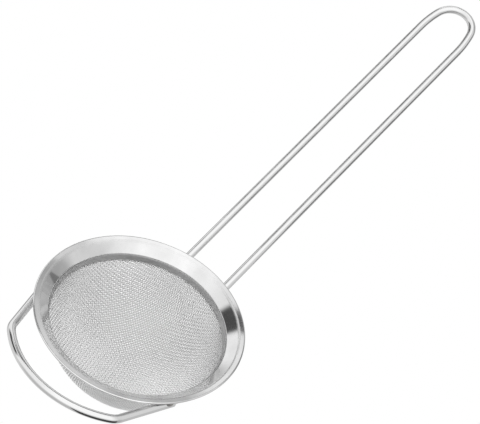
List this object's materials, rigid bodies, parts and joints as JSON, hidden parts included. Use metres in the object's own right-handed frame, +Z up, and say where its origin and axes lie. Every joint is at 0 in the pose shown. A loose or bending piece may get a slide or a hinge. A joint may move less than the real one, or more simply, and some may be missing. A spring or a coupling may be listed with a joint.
{
  "type": "tea strainer",
  "caption": "Hand-held strainer: a round woven wire bowl in a stamped rim, with a long U-shaped wire handle and a wire rest that hooks over a cup.",
  "frame": {"origin": "centre of the rim, in the plane of its flat lip", "axes": "+Z up out of the bowl's open mouth, +X along the handle, +Y across it"},
  "size_m": [0.2381, 0.08, 0.1029],
  "materials": {
    "rim_steel": "polished stainless steel sheet",
    "wire_steel": "bright drawn stainless steel wire",
    "mesh_steel": "fine woven stainless steel wire cloth",
    "weld_steel": "small dull weld beads"
  },
  "bodies": {
    "root": {"rim": "rim_steel", "mesh_bowl": "mesh_steel", "retaining_ring": "rim_steel", "handle": "wire_steel", "handle_welds": "weld_steel", "cup_rest": "wire_steel", "cup_rest_welds": "weld_steel"}
  },
  "joints": []
}
